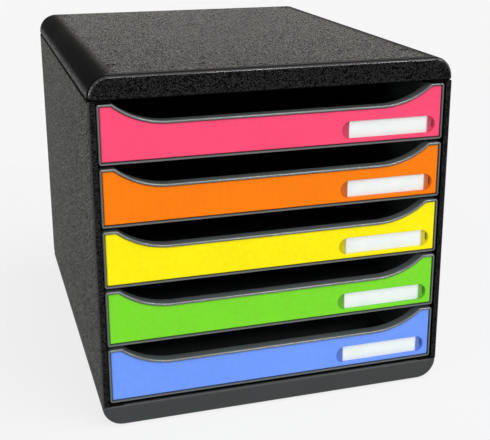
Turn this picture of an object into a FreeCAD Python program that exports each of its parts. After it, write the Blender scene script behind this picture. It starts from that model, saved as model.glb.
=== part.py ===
import FreeCAD, Part
import math
import os
import Sketcher

# Desktop drawer unit: a black moulded case with five sliding drawers that have coloured fronts.
# Frame: X to the right, Y to the back, Z up; the drawers open towards -Y. The origin is the middle of
# the footprint, on the surface that the feet stand on. Millimetres throughout.

DRIVING = {
    # The case
    "case_width": 278,
    "case_depth": 347,
    "case_height": 271,
    "wall": 2.5,
    "foot_drop": 1,
    "base_joint": 18,
    "cover_joint": 253,
    "corner_round": 16,
    "edge_round": 3.2,
    "joint_round": 1.8,
    # Side panels
    "edge_strip": 5,
    "front_strip": 12,
    "rear_strip": 9,
    "side_round": 2,
    "flange_width": 16,
    "flange_thick": 1.8,
    "flange_setback": 0.6,
    # Back panel and the grooves that hold it
    "back_thick": 2.2,
    "back_setback": 3.25,
    "back_tuck": 3,
    "back_fit": 0.25,
    "groove_depth": 2.4,
    "back_rib_height": 5,
    "back_rib_proud": 1,
    # Snap hooks on the side panels and the catches they close on
    "hook_inset": 10.5,
    "hook_thick": 2,
    "hook_reach": 9,
    "hook_catch": 6.5,
    "hook_barb": 1.4,
    "hook_width": 16,
    "hook_spread": 220,
    "catch_thick": 3.2,
    "catch_width": 20,
    "snap_fit": 0.35,
    # Stiffening ribs under the cover and in the base
    "rib_thick": 1.6,
    "rib_height": 8,
    "rib_spread": 260,
    # Feet, and the stacking marks above them
    "foot_across": 116,
    "foot_front": 134,
    "foot_back": 158,
    "foot_radius": 6,
    "foot_seat": 1,
    "foot_fit": 0.15,
    "mark_radius": 3.6,
    "mark_core": 1.6,
    "mark_deep": 0.5,
    # Drawer fronts
    "pitch": 46.6,
    "front_clear": 2.2,
    "front_width": 266.4,
    "front_height": 44,
    "front_setback": 0.9,
    "front_deep": 8,
    "ear_width": 11,
    "scoop_run": 40,
    "scoop_drop": 14.5,
    "front_corner": 2,
    "rim": 1.6,
    "rim_round": 1.2,
    "web": 2,
    # Coloured plates
    "plate_thick": 2.8,
    "plate_sink": 0.8,
    "plate_gap": 0.6,
    "plate_round": 0.8,
    # Label recess, card and window
    "label_across": 88.3,
    "label_up": 12.2,
    "label_length": 77,
    "label_height": 14,
    "label_deep": 2,
    "card_length": 64.6,
    "card_height": 13.2,
    "card_thick": 0.3,
    "window_thick": 1.2,
    "window_sink": 0.2,
    "window_fit": 0.12,
    "nail_inset": 0.6,
    "nail_width": 1.6,
    "nail_height": 4.4,
    "nail_lift": 0.4,
    # Trays
    "tray_half": 125,
    "tray_wall": 2,
    "tray_height": 42,
    "tray_rear": 162,
    "tray_round": 4,
    "wing_half": 132.6,
    "wing_thick": 2,
    "lug_half": 135.6,
    "lug_front": 144,
    "lug_length": 12,
    # Runner channels
    "runner_half": 126.3,
    "runner_thick": 2,
    "guide_half": 128.5,
    "guide_thick": 1.8,
    "run_gap": 0.4,
    "stop_half": 133.6,
    "stop_length": 4,
    "travel": 240,
}
DRAWERS = 5
HOOKS_PER_EDGE = 3
RIBS = 3
BACK_RIBS = 4
BITE = 0.5      # how far a rib or block runs into the wall that carries it
NEAR = 0.01     # lengths closer than this are taken as equal when edges are picked

document = FreeCAD.newDocument("drawer_unit")
sheet = document.addObject("Spreadsheet::Sheet", "Dims")


class Size:
    """A length that carries both its number and the sheet expression that gives it."""

    def __init__(self, value, text):
        self.value = value
        self.text = text

    @staticmethod
    def of(thing):
        return thing if isinstance(thing, Size) else Size(thing, repr(thing))

    def join(self, other, sign, value):
        return Size(value, f"({self.text} {sign} {other.text})")

    def __add__(self, other):
        other = Size.of(other)
        return self.join(other, "+", self.value + other.value)

    def __sub__(self, other):
        other = Size.of(other)
        return self.join(other, "-", self.value - other.value)

    def __mul__(self, other):
        other = Size.of(other)
        return self.join(other, "*", self.value * other.value)

    def __truediv__(self, other):
        other = Size.of(other)
        return self.join(other, "/", self.value / other.value)

    def __radd__(self, other):
        return Size.of(other) + self

    def __rsub__(self, other):
        return Size.of(other) - self

    def __rmul__(self, other):
        return Size.of(other) * self

    def __neg__(self):
        return Size(-self.value, f"(0 - {self.text})")

    def root(self):
        return Size(math.sqrt(self.value), f"sqrt({self.text})")


for row, (name, number) in enumerate(DRIVING.items(), start=1):
    sheet.set(f"A{row}", name)
    sheet.set(f"B{row}", str(number))
    sheet.setAlias(f"B{row}", name)
document.recompute()


def dim(name):
    return Size(DRIVING[name], f"Dims.{name}")


# Places that several pieces share
half_width = dim("case_width") / 2
half_depth = dim("case_depth") / 2
front_face = dim("front_setback") - half_depth
plate_face = front_face + dim("plate_sink")
recess_floor = plate_face + dim("plate_thick")
web_back = recess_floor + dim("web")
front_back = front_face + dim("front_deep")
first_bay = dim("base_joint") + dim("front_clear")


def bind(thing, place, size):
    thing.setExpression(place, Size.of(size).text)


def new_body(label):
    body = document.addObject("PartDesign::Body", label)
    body.Label = label
    return body


def origin_part(body, role):
    return next(part for part in body.Origin.OriginFeatures if part.Role == role)


def new_sketch(body, name, plane, level):
    """An empty sketch on an origin plane, moved along the plane's axis to a level."""
    sketch = body.newObject("Sketcher::SketchObject", name)
    sketch.AttachmentSupport = [(origin_part(body, plane), "")]
    sketch.MapMode = "FlatFace"
    # The normal of the XZ plane points to -Y
    bind(sketch, "AttachmentOffset.Base.z", -Size.of(level) if plane == "XZ_Plane" else level)
    return sketch


def place_point(sketch, side, end, across, up):
    """Hold one end of a side at its distances from the sketch's origin."""
    for kind, axis, size in (("DistanceX", -2, across), ("DistanceY", -1, up)):
        size = Size.of(size)
        if size.value == 0:
            sketch.addConstraint(Sketcher.Constraint("PointOnObject", side, end, axis))
        else:
            index = sketch.addConstraint(Sketcher.Constraint(kind, -1, 1, side, end, size.value))
            bind(sketch, f"Constraints[{index}]", size)


def add_outline(sketch, corners, arcs=None):
    """Draw a closed outline through its corners. arcs gives, for the side that starts at a corner's
    number, a radius and the hand it bulges to: +1 left of the way along, -1 right."""
    arcs = arcs or {}
    first = sketch.GeometryCount
    points = [FreeCAD.Vector(Size.of(x).value, Size.of(y).value, 0) for x, y in corners]
    ends = []
    for number, start in enumerate(points):
        stop = points[(number + 1) % len(points)]
        if number in arcs:
            radius, hand = arcs[number]
            chord = stop - start
            left = FreeCAD.Vector(-chord.y, chord.x, 0).normalize()
            rise = radius.value - math.sqrt(max(radius.value**2 - (chord.Length / 2) ** 2, 0))
            edge = Part.Arc(start, (start + stop) / 2 + left * rise * hand, stop)
        else:
            edge = Part.LineSegment(start, stop)
        side = sketch.addGeometry(edge, False)
        forward = (sketch.getPoint(side, 1) - start).Length < (sketch.getPoint(side, 2) - start).Length
        ends.append((1, 2) if forward else (2, 1))
    for number, (across, up) in enumerate(corners):
        following = (number + 1) % len(corners)
        meet = (first + number, ends[number][1], first + following, ends[following][0])
        sketch.addConstraint(Sketcher.Constraint("Coincident", *meet))
        place_point(sketch, first + number, ends[number][0], across, up)
        if number in arcs:
            radius = arcs[number][0]
            chord = points[following] - points[number]
            if abs(chord.Length - 2 * radius.value) < NEAR:
                # A half round is held by its middle, which is in line with its two ends
                line = "Vertical" if abs(chord.x) < abs(chord.y) else "Horizontal"
                sketch.addConstraint(Sketcher.Constraint(line, first + number, 3, first + number, 1))
            else:
                index = sketch.addConstraint(Sketcher.Constraint("Radius", first + number, radius.value))
                bind(sketch, f"Constraints[{index}]", radius)


def add_box(sketch, left, right, low, high):
    add_outline(sketch, [(left, low), (right, low), (right, high), (left, high)])


def add_circle(sketch, across, up, radius):
    across, up, radius = Size.of(across), Size.of(up), Size.of(radius)
    middle = FreeCAD.Vector(across.value, up.value, 0)
    side = sketch.addGeometry(Part.Circle(middle, FreeCAD.Vector(0, 0, 1), radius.value), False)
    place_point(sketch, side, 3, across, up)
    index = sketch.addConstraint(Sketcher.Constraint("Radius", side, radius.value))
    bind(sketch, f"Constraints[{index}]", radius)


def add_pill(sketch, across, up, length, height):
    """A bar with half-round ends, lying along the first axis."""
    end = length / 2 - height / 2
    left, right = across - end, across + end
    low, high = up - height / 2, up + height / 2
    corners = [(left, low), (right, low), (right, high), (left, high)]
    add_outline(sketch, corners, {1: (height / 2, -1), 3: (height / 2, -1)})


def extrude(body, kind, sketch, length, reverse=False, both_ways=False):
    """A Pad or Pocket of a sketch, with a test that it did add or take away material."""
    before = body.Shape.Volume if body.Tip else 0
    feature = body.newObject(f"PartDesign::{kind}", f"{sketch.Label}_{kind.lower()}")
    feature.Profile = sketch
    feature.Reversed = reverse
    if both_ways:
        feature.SideType = "Symmetric"
    bind(feature, "Length", length)
    document.recompute()
    change = body.Shape.Volume - before
    if change * (1 if kind == "Pad" else -1) <= 0:
        raise RuntimeError(f"{feature.Label} changes the volume by {change}")
    return feature


def repeat(body, feature, axis, length, count):
    """Copies of a feature in a row along an origin axis; length is from the first to the last."""
    row = body.newObject("PartDesign::LinearPattern", f"{feature.Label}_row")
    row.Originals = [feature]
    row.Direction = (origin_part(body, axis), [""])
    row.Occurrences = count
    bind(row, "Length", length)
    body.Tip = row
    document.recompute()


def round_edges(body, name, radius, chosen):
    """Round every edge for which chosen(box) is true, where box is the edge's bounding box."""
    base = body.Tip
    edges = enumerate(base.Shape.Edges, start=1)
    fillet = body.newObject("PartDesign::Fillet", name)
    fillet.Base = (base, [f"Edge{number}" for number, edge in edges if chosen(edge.BoundBox)])
    bind(fillet, "Radius", radius)
    document.recompute()


def lies_in(axis, level):
    """A test for edges that lie in the plane across an axis at a level."""

    def chosen(box):
        low, high = getattr(box, f"{axis}Min"), getattr(box, f"{axis}Max")
        return abs(low - level.value) < NEAR and abs(high - level.value) < NEAR

    return chosen


def foot_places():
    for across in (-dim("foot_across"), dim("foot_across")):
        for along in (-dim("foot_front"), dim("foot_back")):
            yield across, along


# Top cover and base: like shells, one turned over. Each is a bar with two rounded long edges, hollowed
# from the joint with the sides, ribbed inside, with catches for the side panels' hooks.
def shell(label, joint, flat, way):
    """way is +1 for the cover, which rises from its joint to its flat, and -1 for the base."""
    body = new_body(label)
    wall, radius = dim("wall"), dim("corner_round")

    def section(name, inset, mouth):
        outer = half_width - inset
        reach = flat - way * inset
        bend = radius - inset
        corners = [
            (-outer, mouth),
            (outer, mouth),
            (outer, reach - way * bend),
            (outer - bend, reach),
            (bend - outer, reach),
            (-outer, reach - way * bend),
        ]
        sketch = new_sketch(body, name, "XZ_Plane", 0)
        add_outline(sketch, corners, {2: (bend, -way), 4: (bend, -way)})
        return sketch

    extrude(body, "Pad", section("bar", Size.of(0), joint), dim("case_depth"), both_ways=True)
    in_front, in_back = lies_in("Y", -half_depth), lies_in("Y", half_depth)
    in_joint = lies_in("Z", joint)

    def end_outline(box):
        return (in_front(box) or in_back(box)) and not in_joint(box)

    round_edges(body, "end_rounds", dim("edge_round"), end_outline)
    round_edges(body, "joint_rounds", dim("joint_round"), in_joint)
    hollow = section("hollow", wall, joint - way * wall)
    extrude(body, "Pocket", hollow, dim("case_depth") - 2 * wall, both_ways=True)

    rib_end = half_width - radius
    roof = flat - way * wall
    rib = new_sketch(body, "rib", "XZ_Plane", -dim("rib_spread") / 2)
    add_box(rib, -rib_end, rib_end, roof - way * dim("rib_height"), roof + way * BITE)
    rib_pad = extrude(body, "Pad", rib, dim("rib_thick"), both_ways=True)
    repeat(body, rib_pad, "Y_Axis", dim("rib_spread"), RIBS)

    hook_face = half_width - dim("hook_inset") + dim("hook_thick")
    catch_top = joint + way * (dim("hook_catch") - dim("snap_fit"))
    catch_low = catch_top - way * dim("catch_thick")
    catch = new_sketch(body, "catch", "XZ_Plane", -dim("hook_spread") / 2)
    for hand in (-1, 1):
        catch_face = hand * (hook_face + dim("snap_fit"))
        add_box(catch, catch_face, hand * (half_width - wall + BITE), catch_low, catch_top)
    catch_pad = extrude(body, "Pad", catch, dim("catch_width"), both_ways=True)
    repeat(body, catch_pad, "Y_Axis", dim("hook_spread"), HOOKS_PER_EDGE)
    return body


top_cover = shell("top_cover", dim("cover_joint"), dim("case_height"), 1)
marks = new_sketch(top_cover, "stacking_marks", "XY_Plane", dim("case_height"))
for across, along in foot_places():
    add_circle(marks, across, along, dim("mark_radius"))
    add_circle(marks, across, along, dim("mark_core"))
extrude(top_cover, "Pocket", marks, dim("mark_deep"))

base_cover = shell("base_cover", dim("base_joint"), dim("foot_drop"), -1)
seats = new_sketch(base_cover, "foot_seats", "XY_Plane", dim("foot_drop"))
for across, along in foot_places():
    add_circle(seats, across, along, dim("foot_radius") + dim("foot_fit"))
extrude(base_cover, "Pocket", seats, dim("foot_seat"), reverse=True)


# Side panels: a plate with a wide front edge, a grooved rear edge, a flange with snap hooks above and
# below, and a runner channel with a stop for each drawer. hand is -1 on the left and +1 on the right.
def side_panel(label, hand):
    body = new_body(label)
    inner = half_width - dim("wall")
    strip = half_width - dim("edge_strip")
    front = dim("front_strip") - half_depth
    rear = half_depth - dim("rear_strip")
    groove_back = half_depth - dim("back_setback") + dim("back_fit")
    groove_front = half_depth - dim("back_setback") - dim("back_thick") - dim("back_fit")
    groove_end = strip + dim("groove_depth")
    low, high = dim("base_joint"), dim("cover_joint")

    plan = new_sketch(body, "plan", "XY_Plane", low)
    plan_corners = [
        (half_width, -half_depth),
        (half_width, half_depth),
        (strip, half_depth),
        (strip, groove_back),
        (groove_end, groove_back),
        (groove_end, groove_front),
        (strip, groove_front),
        (strip, rear),
        (inner, rear),
        (inner, front),
        (strip, front),
        (strip, -half_depth),
    ]
    add_outline(plan, [(hand * across, along) for across, along in plan_corners])
    extrude(body, "Pad", plan, high - low)
    round_edges(body, "outer_rounds", dim("side_round"), lies_in("X", hand * half_width))

    for name, level in (("lower_flange", low), ("upper_flange", high - dim("flange_thick"))):
        flange = new_sketch(body, name, "XY_Plane", level)
        flange_end = hand * (half_width - dim("flange_width"))
        add_box(flange, flange_end, hand * (inner + BITE), dim("flange_setback") - half_depth, rear + BITE)
        extrude(body, "Pad", flange, dim("flange_thick"))

    hook_outer = half_width - dim("hook_inset") + dim("hook_thick")
    hook_inner = half_width - dim("hook_inset")
    for name, joint, way in (("lower_hook", low, -1), ("upper_hook", high, 1)):
        root = joint - way * dim("flange_thick") / 2
        catch = joint + way * dim("hook_catch")
        tip = joint + way * dim("hook_reach")
        hook_corners = [
            (hook_inner, root),
            (hook_outer, root),
            (hook_outer, catch),
            (hook_outer + dim("hook_barb"), catch),
            (hook_outer, tip),
            (hook_inner, tip),
        ]
        hook = new_sketch(body, name, "XZ_Plane", -dim("hook_spread") / 2)
        add_outline(hook, [(hand * across, up) for across, up in hook_corners])
        hook_pad = extrude(body, "Pad", hook, dim("hook_width"), both_ways=True)
        repeat(body, hook_pad, "Y_Axis", dim("hook_spread"), HOOKS_PER_EDGE)

    wing_low = first_bay + dim("tray_height") - dim("wing_thick")
    runner_top = wing_low - dim("run_gap")
    guide_low = wing_low + dim("wing_thick") + dim("run_gap")
    channel = new_sketch(body, "channel", "XZ_Plane", front)
    carrier = hand * (inner + BITE)
    add_box(channel, hand * dim("runner_half"), carrier, runner_top - dim("runner_thick"), runner_top)
    add_box(channel, hand * dim("guide_half"), carrier, guide_low, guide_low + dim("guide_thick"))
    channel_pad = extrude(body, "Pad", channel, rear - front + BITE, reverse=True)
    repeat(body, channel_pad, "Z_Axis", dim("pitch") * (DRAWERS - 1), DRAWERS)

    stop_rear = dim("lug_front") - dim("travel") - dim("run_gap")
    stop = new_sketch(body, "stop", "XZ_Plane", stop_rear)
    add_box(stop, hand * dim("stop_half"), carrier, runner_top - BITE, guide_low + BITE)
    stop_pad = extrude(body, "Pad", stop, dim("stop_length"))
    repeat(body, stop_pad, "Z_Axis", dim("pitch") * (DRAWERS - 1), DRAWERS)
    return body


left_side_panel = side_panel("left_side_panel", -1)
right_side_panel = side_panel("right_side_panel", 1)

# Back panel: a plate that stands in the side panels' grooves and reaches a little way into the cover
# and the base, with four flat stiffening ribs across its outside.
back_panel = new_body("back_panel")
back_face = half_depth - dim("back_setback")
back_half = half_width - dim("edge_strip") + dim("groove_depth") - dim("back_fit")
back_low = dim("base_joint") - dim("back_tuck")
back_high = dim("cover_joint") + dim("back_tuck")
plate = new_sketch(back_panel, "plate", "XZ_Plane", back_face)
add_box(plate, -back_half, back_half, back_low, back_high)
extrude(back_panel, "Pad", plate, dim("back_thick"))
back_rib_step = (dim("cover_joint") - dim("base_joint")) / (BACK_RIBS + 1)
back_rib_half = half_width - dim("flange_width")
back_rib_low = dim("base_joint") + back_rib_step - dim("back_rib_height") / 2
back_rib = new_sketch(back_panel, "back_rib", "XZ_Plane", back_face)
add_box(back_rib, -back_rib_half, back_rib_half, back_rib_low, back_rib_low + dim("back_rib_height"))
back_rib_pad = extrude(back_panel, "Pad", back_rib, dim("back_rib_proud"), reverse=True)
repeat(back_panel, back_rib_pad, "Z_Axis", back_rib_step * (BACK_RIBS - 1), BACK_RIBS)

# Feet: four round rubber pads in the base's seats, one group.
feet = []
for number, (across, along) in enumerate(foot_places(), start=1):
    pad = document.addObject("Part::Cylinder", f"foot_pad_{number}")
    bind(pad, "Radius", dim("foot_radius"))
    bind(pad, "Height", dim("foot_drop") + dim("foot_seat"))
    bind(pad, "Placement.Base.x", across)
    bind(pad, "Placement.Base.y", along)
    feet.append(pad)
rubber_feet = document.addObject("Part::Compound", "rubber_feet")
rubber_feet.Label = "rubber_feet"
rubber_feet.Links = feet
document.recompute()


def front_outline(sketch, inset):
    """The drawer front's outline drawn inwards by inset: a bar with an ear at each top corner, and
    between the ears a scoop whose round ends run level into its long straight bottom."""
    run, drop = dim("scoop_run"), dim("scoop_drop")
    radius = (run * run + drop * drop) / (2 * drop)
    half = dim("front_width") / 2
    top = dim("front_height")
    level_end = half - dim("ear_width") - run
    middle_up = top - drop + radius
    bend = radius + inset
    fall = middle_up - top + inset
    ear_end = level_end + (bend * bend - fall * fall).root()
    outer = half - inset
    corners = [
        (-outer, inset),
        (outer, inset),
        (outer, top - inset),
        (ear_end, top - inset),
        (level_end, top - drop - inset),
        (-level_end, top - drop - inset),
        (-ear_end, top - inset),
        (-outer, top - inset),
    ]
    add_outline(sketch, corners, {3: (bend, 1), 5: (bend, 1)})


def round_front_corners(body, radius, length):
    """Round the corners of a front's outline: its edges that run straight back, all one length, but
    not the two where the scoop's round ends run level into its bottom."""
    scoop_end = dim("front_width") / 2 - dim("ear_width") - dim("scoop_run")

    def runs_back(box):
        straight = box.XLength < NEAR and box.ZLength < NEAR and abs(box.YLength - length.value) < NEAR
        return straight and abs(box.XMin) > scoop_end.value + NEAR

    round_edges(body, "corner_rounds", radius, runs_back)


# Drawer trays: one moulding of a deep front rim with a web behind the coloured plate, a floor, three
# walls, and wings that run in the channels and end in lugs that meet the stops.
def drawer_tray(label):
    body = new_body(label)
    rim = new_sketch(body, "rim", "XZ_Plane", front_face)
    front_outline(rim, Size.of(0))
    extrude(body, "Pad", rim, dim("front_deep"), reverse=True)
    round_front_corners(body, dim("front_corner"), dim("front_deep"))
    round_edges(body, "rim_rounds", dim("rim_round"), lies_in("Y", front_face))
    recess = new_sketch(body, "recess", "XZ_Plane", front_face)
    front_outline(recess, dim("rim"))
    extrude(body, "Pocket", recess, recess_floor - front_face)
    hollow = new_sketch(body, "hollow", "XZ_Plane", front_back)
    front_outline(hollow, dim("rim"))
    extrude(body, "Pocket", hollow, front_back - web_back, reverse=True)

    half, wall = dim("tray_half"), dim("tray_wall")
    rear = dim("tray_rear")
    floor = new_sketch(body, "floor", "XY_Plane", 0)
    add_box(floor, -half, half, web_back, rear)
    extrude(body, "Pad", floor, wall)
    walls = new_sketch(body, "walls", "XY_Plane", 0)
    wall_corners = [
        (-half, web_back),
        (wall - half, web_back),
        (wall - half, rear - wall),
        (half - wall, rear - wall),
        (half - wall, web_back),
        (half, web_back),
        (half, rear),
        (-half, rear),
    ]
    add_outline(walls, wall_corners)
    extrude(body, "Pad", walls, dim("tray_height"))
    for name, inset in (("outer_rounds", Size.of(0)), ("inner_rounds", wall)):
        in_rear = lies_in("Y", rear - inset)
        round_edges(body, name, dim("tray_round") - inset, lambda box: in_rear(box) and box.XLength < NEAR)

    wings = new_sketch(body, "wings", "XY_Plane", dim("tray_height") - dim("wing_thick"))
    lug_rear = dim("lug_front") + dim("lug_length")
    for hand in (-1, 1):
        wing_corners = [
            (half - BITE, web_back),
            (dim("wing_half"), web_back),
            (dim("wing_half"), dim("lug_front")),
            (dim("lug_half"), dim("lug_front")),
            (dim("lug_half"), lug_rear),
            (half - BITE, lug_rear),
        ]
        add_outline(wings, [(hand * across, along) for across, along in wing_corners])
    extrude(body, "Pad", wings, dim("wing_thick"))
    return body


# Coloured plates: cut to the rim's outline, with a pill-shaped recess for the label near the right end
# and a thumbnail slot through the plate just inside the recess's right end.
def drawer_front(label):
    body = new_body(label)
    plate = new_sketch(body, "plate", "XZ_Plane", plate_face)
    front_outline(plate, dim("rim") + dim("plate_gap"))
    extrude(body, "Pad", plate, dim("plate_thick"), reverse=True)
    round_front_corners(body, dim("plate_round"), dim("plate_thick"))
    round_edges(body, "face_rounds", dim("plate_round"), lies_in("Y", plate_face))
    pill = new_sketch(body, "label_recess", "XZ_Plane", plate_face)
    add_pill(pill, dim("label_across"), dim("label_up"), dim("label_length"), dim("label_height"))
    extrude(body, "Pocket", pill, dim("label_deep"))
    slot = new_sketch(body, "nail_slot", "XZ_Plane", plate_face)
    slot_right = dim("label_across") + dim("label_length") / 2 - dim("nail_inset")
    slot_left = slot_right - dim("nail_width")
    slot_low = dim("label_up") + dim("nail_lift") - dim("nail_height") / 2
    slot_high = slot_low + dim("nail_height")
    slot_bend = dim("nail_width") / 2
    slot_corners = [
        (slot_left, slot_low),
        (slot_right, slot_low),
        (slot_right, slot_high),
        (slot_left, slot_high),
    ]
    add_outline(slot, slot_corners, {0: (slot_bend, -1), 2: (slot_bend, -1)})
    extrude(body, "Pocket", slot, dim("plate_thick"))
    return body


# Label cards: plain white card lying on the floor of the recess.
def label_card(label):
    body = new_body(label)
    floor = plate_face + dim("label_deep")
    card = new_sketch(body, "card", "XZ_Plane", floor)
    across, up = dim("label_across"), dim("label_up")
    half_long, half_high = dim("card_length") / 2, dim("card_height") / 2
    add_box(card, across - half_long, across + half_long, up - half_high, up + half_high)
    extrude(body, "Pad", card, dim("card_thick"))
    return body


# Label windows: clear plates pressed into the recess over the cards.
def label_window(label):
    body = new_body(label)
    face = plate_face + dim("window_sink")
    window = new_sketch(body, "window", "XZ_Plane", face)
    length = dim("label_length") - 2 * dim("window_fit")
    height = dim("label_height") - 2 * dim("window_fit")
    add_pill(window, dim("label_across"), dim("label_up"), length, height)
    extrude(body, "Pad", window, dim("window_thick"), reverse=True)
    return body


# The five drawers, numbered from the top: each piece is drawn at the height of the origin and then
# lifted to its bay.
drawer_pieces = []
for number in range(1, DRAWERS + 1):
    lift = first_bay + dim("pitch") * (DRAWERS - number)
    for make, name in (
        (drawer_tray, "drawer_tray"),
        (drawer_front, "drawer_front"),
        (label_card, "label_card"),
        (label_window, "label_window"),
    ):
        piece = make(f"{name}_{number}")
        bind(piece, "Placement.Base.z", lift)
        drawer_pieces.append(piece)
document.recompute()

pieces = [top_cover, base_cover, left_side_panel, right_side_panel, back_panel, rubber_feet]
pieces += drawer_pieces

for thing in document.Objects:
    if "Invalid" in thing.State or "Error" in thing.State:
        raise RuntimeError(f"{thing.Label} failed: {thing.State}")
os.makedirs("parts", exist_ok=True)
for piece in pieces:
    if piece.Shape.isNull() or not piece.Shape.isValid():
        raise RuntimeError(f"{piece.Label} has no valid shape")
for piece in pieces:
    piece.Shape.exportStep(os.path.join("parts", f"{piece.Label}.step"))
    box = piece.Shape.optimalBoundingBox()
    solids = len(piece.Shape.Solids)
    print(f"{piece.Label}: {solids} solid(s), {box.XLength:.2f} x {box.YLength:.2f} x {box.ZLength:.2f} mm")
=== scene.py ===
import bpy
import numpy as np
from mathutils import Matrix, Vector


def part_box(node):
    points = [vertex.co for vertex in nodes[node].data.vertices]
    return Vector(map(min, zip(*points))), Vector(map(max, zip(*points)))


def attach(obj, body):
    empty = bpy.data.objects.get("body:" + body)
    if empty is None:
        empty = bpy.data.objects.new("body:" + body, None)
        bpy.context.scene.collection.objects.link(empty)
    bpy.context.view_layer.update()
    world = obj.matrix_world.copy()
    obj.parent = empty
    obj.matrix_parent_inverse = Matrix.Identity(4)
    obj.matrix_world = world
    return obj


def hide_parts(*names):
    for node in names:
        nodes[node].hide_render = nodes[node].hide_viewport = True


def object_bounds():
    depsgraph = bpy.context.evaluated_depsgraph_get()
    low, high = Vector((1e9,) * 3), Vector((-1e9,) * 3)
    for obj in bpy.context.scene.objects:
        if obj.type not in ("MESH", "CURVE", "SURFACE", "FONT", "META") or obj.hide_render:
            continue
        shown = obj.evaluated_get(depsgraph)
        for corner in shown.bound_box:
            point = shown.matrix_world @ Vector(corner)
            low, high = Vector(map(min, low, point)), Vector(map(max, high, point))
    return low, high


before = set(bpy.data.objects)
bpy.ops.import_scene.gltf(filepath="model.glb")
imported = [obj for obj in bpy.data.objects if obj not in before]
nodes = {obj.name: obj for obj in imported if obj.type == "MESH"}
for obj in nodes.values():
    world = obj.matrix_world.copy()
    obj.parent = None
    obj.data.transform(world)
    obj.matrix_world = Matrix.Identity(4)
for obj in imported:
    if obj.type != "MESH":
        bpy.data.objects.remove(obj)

cad_low, cad_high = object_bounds()


# Base: a shallow polystyrene tray with rounded long edges, injection moulded in a finely blasted tool,
# so it is a plain satin grey. The side panels' hooks snap into it.
class Wire:
    """An output socket of some shader nodes. Arithmetic on wires adds Math nodes beside it."""

    def __init__(self, socket):
        self.socket = socket
        self.tree = socket.id_data

    def node(self, kind, settings=None, inputs=None, output=0):
        """Adds a node: first its settings, then the values or wires of its input sockets."""
        made = self.tree.nodes.new(kind)
        for name, setting in (settings or {}).items():
            setattr(made, name, setting)
        for name, value in (inputs or {}).items():
            if isinstance(value, Wire):
                self.tree.links.new(value.socket, made.inputs[name])
            else:
                made.inputs[name].default_value = value
        return Wire(made.outputs[output])

    def math(self, operation, first, second=0.0):
        """One operation on two numbers or wires."""
        return self.node("ShaderNodeMath", {"operation": operation}, {0: first, 1: second})

    def __add__(self, other):
        return self.math("ADD", self, other)

    def __sub__(self, other):
        return self.math("SUBTRACT", self, other)

    def __rsub__(self, other):
        return self.math("SUBTRACT", other, self)

    def __mul__(self, other):
        return self.math("MULTIPLY", self, other)

    def __abs__(self):
        return self.math("ABSOLUTE", self)

    __radd__ = __add__
    __rmul__ = __mul__

    def most(self, other):
        """The larger of the two at each point."""
        return self.math("MAXIMUM", self, other)

    def part(self, axis):
        """One of the three numbers of a vector: X, Y or Z."""
        return self.node("ShaderNodeSeparateXYZ", {}, {0: self}, output=axis)

    def noise(self, size, detail=2.0, roughness=0.5):
        """Smooth random values from 0 to 1 whose lumps are about size metres across."""
        sockets = {"Vector": self, "Scale": 1 / size, "Detail": detail, "Roughness": roughness}
        return self.node("ShaderNodeTexNoise", {}, sockets)

    def cells(self, size, output):
        """Random cells about size metres across: the Distance to a cell's middle, or its own Color."""
        return self.node("ShaderNodeTexVoronoi", {}, {"Vector": self, "Scale": 1 / size}, output)

    def ramp(self, start, end):
        """0 below start, 1 above end, and a smooth step between them."""
        sockets = {"Value": self, "From Min": start, "From Max": end}
        return self.node("ShaderNodeMapRange", {"interpolation_type": "SMOOTHSTEP"}, sockets)

    def mix(self, first, second):
        """The first colour where this wire is 0, the second where it is 1."""
        settings = {"data_type": "RGBA"}
        return self.node("ShaderNodeMix", settings, {0: self, 6: first, 7: second}, output=2)

    def bump(self, depth):
        """A surface normal whose relief is this wire, depth metres from 0 to 1."""
        return self.node("ShaderNodeBump", {}, {"Height": self, "Distance": depth})


def screen(red, green, blue):
    """A colour as it is seen on a screen, from 0 to 255, as linear red, green, blue and alpha."""
    shown = np.array([red, green, blue]) / 255
    linear = np.where(shown <= 0.04045, shown / 12.92, ((shown + 0.055) / 1.055) ** 2.4)
    return (*linear.tolist(), 1.0)


def new_finish(name):
    """A material, the Wire of its Object coordinates, and a function that sets its shader's sockets."""
    material = bpy.data.materials.new(name)
    material.use_nodes = True
    tree = material.node_tree
    shader = tree.nodes["Principled BSDF"]
    place = Wire(tree.nodes.new("ShaderNodeTexCoord").outputs["Object"])

    def shade(sockets):
        for socket, value in sockets.items():
            if isinstance(value, Wire):
                tree.links.new(value.socket, shader.inputs[socket])
            else:
                shader.inputs[socket].default_value = value

    return material, place, shade


def dress(names, material):
    """Gives CAD nodes a finish of their own."""
    for name in names:
        nodes[name].data.materials.clear()
        nodes[name].data.materials.append(material)


def moulded_skin(place, grain_size):
    """The skin of a plain moulding as three wires: fine noise for the grain, the flow of lighter and
    darker plastic, which follows the grain and slow clouds, and an unevenness of the gloss."""
    grain = place.noise(grain_size, 3.0, 0.6)
    clouds = place.noise(60 * grain_size, 2.0)
    flow = (0.65 * grain + 0.35 * clouds).ramp(0.3, 0.75)
    uneven = 0.12 * clouds + 0.08 * grain
    return grain, flow, uneven


def moulded_satin(name, dark, light, grain_size, grain_depth, rough, gloss=0.5):
    """Moulded plastic or rubber with a low grain and slow clouds of gloss."""
    material, place, shade = new_finish(name)
    grain, flow, uneven = moulded_skin(place, grain_size)
    shade({
        "Base Color": flow.mix(dark, light),
        "Roughness": rough + uneven,
        "Specular IOR Level": gloss,
        "Normal": grain.bump(grain_depth),
    })
    return material


base_finish = moulded_satin(
    "base_satin_grey",
    dark=screen(30, 34, 34),
    light=screen(42, 46, 46),
    grain_size=0.0009,
    grain_depth=0.00003,
    rough=0.48,
)
dress(["base_cover"], base_finish)


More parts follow.
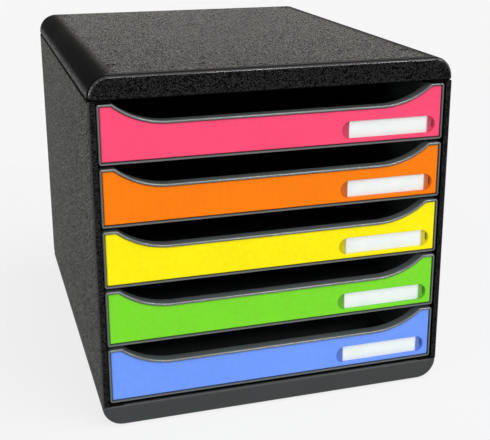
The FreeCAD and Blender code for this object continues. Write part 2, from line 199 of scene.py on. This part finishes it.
# Side panels: plates of black polystyrene whose tool was spark eroded, which leaves an even grain on
# the outside and a fainter one on the wide front strip. The inside and the rounds at the joints were
# polished. A little dust stays in the grain of the outside and greys it.
FRONT = cad_low[1]
HALF_WIDTH = cad_high[0]
COVER_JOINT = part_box("top_cover")[0].z
BASE_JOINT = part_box("base_cover")[1].z
SIDE_ROUND = 0.002
FRONT_BLEND = (0.0001, 0.0004)
JOINT_BLEND = (0.0012, 0.0022)
STRIP_GRAIN = 0.7
BODY_GLOSS = 0.002
COAT_ROUGHNESS = 0.16


def front_face(place):
    """1 on the flat front, 0 behind it."""
    return 1 - (place.part("Y") - FRONT).ramp(*FRONT_BLEND)


def spark_grain(name, black, dust, fleck, front_fleck, sheen, grain_size, grain_depth, polished, edges):
    """Spark-eroded plastic: a dome in each random cell, and some of the domes are paler and shinier. Dust
    greys the ground between them. The front has a weaker sheen, flecks of its own colour and no dust. Two
    functions turn the place into wires: polished is 1 where there is no grain, edges on glossy edges."""
    material, place, shade = new_finish(name)
    grained = 1 - polished(place)
    ahead = front_face(place)
    domes = (1 - place.cells(grain_size, "Distance")).ramp(0.1, 0.75) * grained
    luck = place.cells(grain_size, "Color").part("X")
    patches = place.noise(2.2 * grain_size, 1.0)
    clouds = place.noise(80 * grain_size, 2.0)
    tops = domes * (0.8 * luck + 0.2 * patches).ramp(0.2, 0.6)
    ground = (grained * (1 - ahead)).mix(black, dust)
    grain_sheen = sheen * (1 - 0.65 * ahead) * (0.05 * grained + 0.95 * tops)
    shade({
        "Base Color": tops.mix(ground, ahead.mix(fleck, front_fleck)),
        "Roughness": 0.42 + 0.15 * clouds + 0.15 * grained - 0.3 * tops,
        "Specular IOR Level": BODY_GLOSS,
        "Coat Weight": edges(place).most(grain_sheen),
        "Coat Roughness": COAT_ROUGHNESS,
        "Normal": domes.bump(grain_depth),
    })
    return material


def side_edge(place):
    """1 on the front half of the round between the front strip and the outer face."""
    along = place.part("Y") - FRONT
    outer = abs(place.part("X")).ramp(HALF_WIDTH - 1.3 * SIDE_ROUND, HALF_WIDTH - 0.9 * SIDE_ROUND)
    from_front = along.ramp(0.05 * SIDE_ROUND, 0.15 * SIDE_ROUND)
    past_half = along.ramp(0.55 * SIDE_ROUND, 0.9 * SIDE_ROUND)
    return outer * from_front * (1 - past_half)


def side_polish(place):
    """0 on the outer face, which starts behind the front strip's round and ends at the rounds of the
    joints, 1 on the rest, and between them on the front strip, whose grain is fainter."""
    outer = abs(place.part("X")).ramp(HALF_WIDTH - 0.8 * SIDE_ROUND, HALF_WIDTH - 0.3 * SIDE_ROUND)
    behind = (place.part("Y") - FRONT).ramp(0.9 * SIDE_ROUND, 1.3 * SIDE_ROUND)
    above_base = (place.part("Z") - BASE_JOINT).ramp(*JOINT_BLEND)
    below_cover = (COVER_JOINT - place.part("Z")).ramp(*JOINT_BLEND)
    return 1 - outer * behind * above_base * below_cover - STRIP_GRAIN * front_face(place)


side_finish = spark_grain(
    "side_spark_grain",
    black=screen(12, 12, 12),
    dust=screen(20, 20, 18),
    fleck=screen(58, 55, 48),
    front_fleck=screen(54, 54, 54),
    sheen=0.35,
    grain_size=0.001,
    grain_depth=0.0003,
    polished=side_polish,
    edges=side_edge,
)
dress(["left_side_panel", "right_side_panel"], side_finish)


# Back: a flat plate of the same black with a plain satin skin and low ribs across it. It slides into
# grooves in the side panels before the cover is snapped on.
back_finish = moulded_satin(
    "back_satin_black",
    dark=screen(14, 14, 13),
    light=screen(26, 25, 23),
    grain_size=0.0009,
    grain_depth=0.00004,
    rough=0.45,
    gloss=0.2,
)
dress(["back_panel"], back_finish)


# Top cover: the base's twin turned over, in the same black as the sides, with the spark grain on its
# flat top and front and polished rounds between. The side panels' hooks snap into it from below.
CORNER_ROUND = 0.016
EDGE_ROUND = 0.0032
ROUND_START = HALF_WIDTH - CORNER_ROUND
GRAIN_FADE = (-0.007, 0.004)
LOW_WALL = (0.004, 0.009)
JOINT_ROUND_END = (0.0012, 0.002)
EDGE_ROUND_END = (0.0045, 0.0065)
ARC_BLEND = (0.0, 0.006)
TOP_START = (0.003, 0.005)
TOP_GLOSS = 0.2
GLOSS_FROM_JOINT = (0.002, 0.003)


def cover_rounds(place):
    """1 on the rounded long edges, from the top's edge to near the joint, on the joint's own round, and
    on the round of the front's outline."""
    along = place.part("Y") - FRONT
    up = place.part("Z") - COVER_JOINT
    rounded = (abs(place.part("X")) - ROUND_START).ramp(*GRAIN_FADE)
    from_joint = up.ramp(*LOW_WALL).most(1 - up.ramp(*JOINT_ROUND_END))
    outline = 1 - along.ramp(*EDGE_ROUND_END)
    return along.ramp(*FRONT_BLEND) * (rounded * from_joint).most(outline)


def cover_edge(place):
    """1 on the front half of the round along the front's outline, in a narrower band where it is straight,
    a fifth as much from there to the flat top, and 0 near the joint."""
    along = place.part("Y") - FRONT
    up = place.part("Z") - COVER_JOINT
    rounded = (abs(place.part("X")) - ROUND_START).ramp(*ARC_BLEND)
    band = 1 - (along - EDGE_ROUND / 4 * rounded).ramp(EDGE_ROUND / 8, EDGE_ROUND / 4)
    to_top = TOP_GLOSS * (1 - rounded) * (1 - along.ramp(*TOP_START))
    from_front = along.ramp(EDGE_ROUND / 32, EDGE_ROUND / 16)
    return from_front * band.most(to_top) * up.ramp(*GLOSS_FROM_JOINT)


cover_finish = spark_grain(
    "cover_spark_grain",
    black=screen(6, 6, 6),
    dust=screen(9, 9, 8),
    fleck=screen(44, 42, 38),
    front_fleck=screen(46, 46, 47),
    sheen=0.36,
    grain_size=0.00085,
    grain_depth=0.0002,
    polished=cover_rounds,
    edges=cover_edge,
)
dress(["top_cover"], cover_finish)


# Feet: four soft rubber pads, moulded with a rounded rim and a shallow dish that grips the desk. They
# are pressed into round seats in the base.
SHARP_FROM = np.radians(40)


def closed_shell(name, rings, finish):
    """Closed shells from an array of shells by rings by points: each ring is joined to the next by
    four-sided faces, and the middle of the first and of the last ring closes a shell's ends."""
    shells, count, around = rings.shape[:3]
    middles = rings[:, [0, -1]].mean(axis=2)
    points = np.concatenate([rings.reshape(shells, -1, 3), middles], axis=1)
    here = np.arange(count * around).reshape(count, around)
    after = np.roll(here, -1, axis=1)
    walls = np.stack([here[:-1], after[:-1], after[1:], here[1:]], axis=-1).reshape(-1, 4)
    first_end = np.stack([after[0], here[0], np.full(around, count * around)], axis=-1)
    last_end = np.stack([here[-1], after[-1], np.full(around, count * around + 1)], axis=-1)
    starts = np.arange(shells)[:, None, None] * points.shape[1]
    faces = [(part + starts).reshape(-1, part.shape[1]).tolist() for part in (walls, first_end, last_end)]
    mesh = bpy.data.meshes.new(name)
    mesh.from_pydata(points.reshape(-1, 3).tolist(), [], sum(faces, []))
    mesh.shade_smooth()
    mesh.set_sharp_from_angle(angle=SHARP_FROM)
    mesh.materials.append(finish)
    piece = bpy.data.objects.new(name, mesh)
    bpy.context.scene.collection.objects.link(piece)
    return piece


def circle(count):
    """The cosines and sines of count even steps of a turn."""
    turn = 2 * np.pi * (np.arange(count) + 0.5) / count
    return np.cos(turn), np.sin(turn)


def foot_rings():
    """A profile turned about each foot's axis: from the dish's middle out to the rim, round the rim
    in a quarter circle, up the wall to the top and back in."""
    low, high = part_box("rubber_feet")
    radius, height = 0.006, high[2] - low[2]
    rim, dish = 0.0006, 0.0003
    bend = np.radians(np.linspace(0, 90, 7))
    rim_out = radius - rim + rim * np.sin(bend)
    out = np.concatenate([[0.3 * radius, 0.75 * radius], rim_out, [radius, 0.5 * radius]])
    up = np.concatenate([[dish, dish], rim - rim * np.cos(bend), [height, height]])
    cos, sin = circle(48)
    left_right = [low[0] + radius, high[0] - radius]
    front_back = [low[1] + radius, high[1] - radius]
    across, along = np.meshgrid(left_right, front_back)
    places = np.stack([across.ravel(), along.ravel()], axis=-1)
    flat = out[:, None, None] * np.stack([cos, sin], axis=-1)
    level = np.broadcast_to(low[2] + up[:, None, None], flat.shape[:2] + (1,))
    return np.stack([np.concatenate([flat + place, level], axis=-1) for place in places])


foot_finish = moulded_satin(
    "foot_rubber",
    dark=screen(22, 22, 22),
    light=screen(34, 34, 34),
    grain_size=0.0008,
    grain_depth=0.00003,
    rough=0.75,
)
feet = closed_shell("feet", foot_rings(), foot_finish)
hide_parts("rubber_feet")
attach(feet, "case")


# Drawer trays: dark grey polystyrene, one moulding of tray, deep front rim and scooped finger lip. The
# rim and lip are polished slate. The tray behind them is satin and painted darker, as painted shade
# inside the drawer, with a faint flow of lighter and darker grey.
RIM_DEPTH = 0.012
RIM_ROUGHNESS, TRAY_ROUGHER = 0.06, 0.25
TRAY_GRAIN_SIZE, TRAY_GRAIN_DEPTH = 0.0009, 0.000006


def slate_finish():
    """Grey plastic: glossy on the rim and lip, satin from twice their depth on and painted darker as
    shade.
    """
    material, place, shade = new_finish("tray_slate")
    grain, flow, uneven = moulded_skin(place, TRAY_GRAIN_SIZE)
    behind = (place.part("Y") - FRONT).ramp(RIM_DEPTH, 2 * RIM_DEPTH)
    rim = flow.mix(screen(84, 90, 90), screen(96, 102, 102))
    # The tray's grey is darker than the rim's: painted shade inside the drawer.
    tray = flow.mix(screen(46, 50, 50), screen(56, 60, 60))
    shade({
        "Base Color": behind.mix(rim, tray),
        "Roughness": RIM_ROUGHNESS + uneven + TRAY_ROUGHER * behind,
        "Specular IOR Level": 0.8,
        "Normal": grain.bump(TRAY_GRAIN_DEPTH),
    })
    return material


tray_finish = slate_finish()
numbers = range(1, 6)
dress([f"drawer_tray_{number}" for number in numbers], tray_finish)


# Drawer fronts: coloured plates of polystyrene glued into the rims, one colour for each drawer, with a
# recess for the label. The gloss has the slight unevenness of a moulded plate.
def glossy_plate(name, colour):
    """Coloured plastic: hardly any grain, slow clouds of gloss, and a mottle of a few percent."""
    material, place, shade = new_finish(name)
    clouds = place.noise(0.045, 2.0)
    mottle = place.noise(0.004, 2.0)
    orange_peel = place.noise(0.0016, 1.0)
    deep = [0.92 * part for part in colour[:3]] + [1.0]
    shade({
        "Base Color": (0.5 * clouds + 0.5 * mottle).ramp(0.3, 0.7).mix(deep, colour),
        "Roughness": 0.34 + 0.1 * clouds + 0.05 * orange_peel,
        "Specular IOR Level": 0.1,
        "Normal": orange_peel.bump(0.000006),
    })
    return material


front_colours = {
    "pink": screen(253, 78, 119),
    "orange": screen(253, 127, 8),
    "yellow": screen(254, 238, 12),
    "green": screen(124, 221, 46),
    "blue": screen(113, 156, 254),
}
for number, (name, colour) in zip(numbers, front_colours.items()):
    dress([f"drawer_front_{number}"], glossy_plate(f"front_{name}", colour))


# Label cards: strips of plain white card that lie in the recesses, cut with slightly rounded corners.
# Each bows out a little, as card does when it is pushed in from one end.
def paper_finish():
    """White card: fine fibres and slow clouds, both very faint."""
    material, place, shade = new_finish("label_paper")
    fibres = place.noise(0.0006, 4.0, 0.7)
    clouds = place.noise(0.012, 2.0)
    tooth = (0.5 * fibres + 0.5 * clouds).ramp(0.3, 0.7)
    shade({
        "Base Color": tooth.mix(screen(232, 240, 239), screen(241, 246, 245)),
        "Roughness": 0.75 + 0.15 * fibres,
        "Normal": fibres.bump(0.000015),
    })
    return material


def card_rings(low, high):
    """The card's thin section carried from left to right: it bows out as a parabola, and its height
    follows a quarter circle at the corners."""
    middle, half = (low + high) / 2, (high - low) / 2
    corner, edge, bow = 0.0008, 0.00008, 0.00015
    bend = np.radians(np.linspace(0, 90, 5))
    inner = half.x - corner
    right = np.concatenate([np.linspace(0, inner, 17)[1:-1], inner + corner * np.sin(bend)])
    across = np.concatenate([-right[::-1], [0.0], right])
    past = np.clip((abs(across) - inner) / corner, 0, 1)
    height = half.z - corner + corner * np.sqrt(1 - past**2)
    cos, sin = circle(16)
    thick = np.sign(cos) * (half.y - edge) + edge * cos
    rise = np.sign(sin) * (height - edge)[:, None] + edge * sin
    out = thick - bow * (1 - (across / half.x) ** 2)[:, None]
    sections = np.stack([np.broadcast_to(across[:, None], out.shape), out, rise], axis=-1)
    return (sections + np.array(middle))[None]


card_finish = paper_finish()
for number in numbers:
    card_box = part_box(f"label_card_{number}")
    card = closed_shell(f"card_{number}", card_rings(*card_box), card_finish)
    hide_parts(f"label_card_{number}")
    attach(card, f"drawer_{number}")


# Label windows: clear polystyrene plates with rounded ends that spring into the recess over the card.
# Their ends are frosted and painted darker, as painted shade in the recess, and a dark line is a painted
# shadow of the card's edge.
def clear_finish(low, high, card_end):
    """Clear plastic: hazy over the card, frosted and painted darker past it as shade, a painted shadow
    line between.
    """
    material, place, shade = new_finish("label_clear")
    past_card = abs(place.part("X") - (low.x + high.x) / 2) - card_end
    frosted_shaded_ends = past_card.ramp(0.0, 0.0004)
    card_edge_shadow = 1 - abs(past_card - 0.0003).ramp(0.0002, 0.0005)
    haze = place.noise(0.004, 3.0)
    shade({
        # Past the card the window is frosted and its colour darkened as painted shade, with a painted
        # shadow line at the card's edge.
        "Base Color": frosted_shaded_ends.mix(screen(240, 244, 243), screen(60, 60, 60)),
        "Roughness": 0.1 + 0.1 * haze,
        "Alpha": 0.02 + 0.03 * haze + 0.08 * frosted_shaded_ends + 0.2 * card_edge_shadow,
    })
    return material


def window_rings(low, high):
    """The plate's outline, two half circles joined by straight edges, stacked from back to front: the
    rings keep to it up the edge, then draw in round a quarter circle to the face."""
    middle, half = (low + high) / 2, (high - low) / 2
    edge = 0.0004
    bend = np.radians(np.linspace(0, 90, 6))
    inset = np.concatenate([[edge / 2, 0.0], edge - edge * np.cos(bend)])
    out = np.concatenate([[half.y, half.y - edge / 2], edge - half.y - edge * np.sin(bend)])
    cos, sin = circle(64)
    radius = (half.z - inset)[:, None]
    across = np.sign(cos) * (half.x - half.z) + radius * cos
    rings = np.stack([across, np.broadcast_to(out[:, None], across.shape), radius * sin], axis=-1)
    return (rings + np.array(middle))[None]


first_card_low, first_card_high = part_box("label_card_1")
window_finish = clear_finish(*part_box("label_window_1"), (first_card_high.x - first_card_low.x) / 2)
for number in numbers:
    window_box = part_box(f"label_window_{number}")
    window = closed_shell(f"window_{number}", window_rings(*window_box), window_finish)
    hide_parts(f"label_window_{number}")
    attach(window, f"drawer_{number}")


# Studio: a pale floor that runs out of sight, a white surround and soft lamps. Where the floor is
# looked at it glows in part, as in a studio that lights its floor too, so that shadows on it stay light.
FLOOR_HALF, FLOOR_GLOW = 30.0, 0.85
SEEN, EVEN_LIGHT = 0.95, 0.205
WHITE = (1.0, 1.0, 1.0, 1.0)


def looked_at(tree):
    """1 for rays from the camera, also by way of a reflection or through something clear."""
    rays = tree.nodes.new("ShaderNodeLightPath").outputs
    straight = Wire(rays["Is Camera Ray"])
    return straight + Wire(rays["Is Glossy Ray"]) + Wire(rays["Is Transmission Ray"])


floor_mesh = bpy.data.meshes.new("studio_floor")
floor_corners = FLOOR_HALF * np.array([[-1, -1, 0], [1, -1, 0], [1, 1, 0], [-1, 1, 0]])
floor_mesh.from_pydata(floor_corners.tolist(), [], [[0, 1, 2, 3]])
floor = bpy.data.objects.new("studio_floor", floor_mesh)
bpy.context.scene.collection.objects.link(floor)
floor_finish, place, shade = new_finish("floor_pale")
shade({
    "Base Color": place.noise(0.4, 2.0).mix(screen(223, 223, 223), screen(226, 226, 226)),
    "Roughness": 0.9,
    "Specular IOR Level": 0.0,
})
floor_tree = floor_finish.node_tree
glow = place.node("ShaderNodeEmission", {}, {"Color": WHITE, "Strength": SEEN})
matt = Wire(floor_tree.nodes["Principled BSDF"].outputs["BSDF"])
share = FLOOR_GLOW * looked_at(floor_tree)
lit_floor = place.node("ShaderNodeMixShader", {}, {0: share, 1: matt, 2: glow})
floor_tree.links.new(lit_floor.socket, floor_tree.nodes["Material Output"].inputs["Surface"])
floor_mesh.materials.append(floor_finish)

# The surround is white where it is looked at, straight or in a reflection, and gives an even light.
world = bpy.data.worlds.new("studio_surround")
world.use_nodes = True
bpy.context.scene.world = world
backdrop = world.node_tree.nodes["Background"]
backdrop.inputs["Color"].default_value = WHITE
surround = EVEN_LIGHT + (SEEN - EVEN_LIGHT) * looked_at(world.node_tree)
world.node_tree.links.new(surround.socket, backdrop.inputs["Strength"])


def soft_sun(name, azimuth, elevation, strength, spread, tint=(1.0, 1.0, 1.0)):
    """A far lamp that looks spread degrees wide: it shines from an azimuth, 0 in front and 90 at the
    right."""
    lamp = bpy.data.lights.new(name, "SUN")
    lamp.energy = strength
    lamp.color = tint
    lamp.angle = np.radians(spread)
    sun = bpy.data.objects.new(name, lamp)
    bpy.context.scene.collection.objects.link(sun)
    turn, rise = np.radians([azimuth, elevation])
    towards = Vector((np.sin(turn) * np.cos(rise), -np.cos(turn) * np.cos(rise), np.sin(rise)))
    sun.rotation_euler = towards.to_track_quat("Z", "Y").to_euler()


soft_sun("high_softbox", azimuth=38, elevation=66, strength=1.28, spread=40)
soft_sun("right_softbox", azimuth=76, elevation=48, strength=0.67, spread=40)
soft_sun("rear_softbox", azimuth=155, elevation=25, strength=0.5, spread=60, tint=(1.0, 0.95, 0.84))

# Narrow strips draw the bright lines on the glossy edges. Each has its azimuth, elevation and strength.
STRIP_SPREAD = 5
strips = {
    "corner_strip": (-34, 33, 0.18),
    "front_strip_left": (-9, 27, 0.15),
    "front_strip_near": (8, 31, 0.2),
    "front_strip_middle": (20, 31, 0.3),
    "front_strip_high": (30, 30, 0.25),
    "front_strip_right": (45, 22, 0.17),
    "left_strip_low": (-73, 3, 0.25),
    "left_strip_middle": (-68, 12, 0.3),
    "left_strip_high": (-61, 22, 0.25),
}
for name, (azimuth, elevation, strength) in strips.items():
    soft_sun(name, azimuth, elevation, strength, STRIP_SPREAD)


# Camera: at the photograph's height and side, with a little lens shift, as for straight uprights. It
# looks at a point of the front plane, and its focal length is given in pixels of the frame.
AZIMUTH, ELEVATION = np.radians([-17.23, 16.87])
AIM = Vector((-0.0193, -0.1735, 0.1864))
DISTANCE = 0.7121
FRAME_WIDTH, FOCAL = 490, 965.6
lens = bpy.data.cameras.new("camera")
lens.sensor_width = 36.0
lens.lens = FOCAL / FRAME_WIDTH * lens.sensor_width
lens.shift_x = -0.02
lens.shift_y = -0.08
camera = bpy.data.objects.new("camera", lens)
bpy.context.scene.collection.objects.link(camera)
level = np.cos(ELEVATION)
away = Vector((np.sin(AZIMUTH) * level, -np.cos(AZIMUTH) * level, np.sin(ELEVATION)))
camera.location = AIM + DISTANCE * away
camera.rotation_euler = away.to_track_quat("Z", "Y").to_euler()
bpy.context.scene.camera = camera
bpy.context.scene.view_settings.view_transform = "Standard"
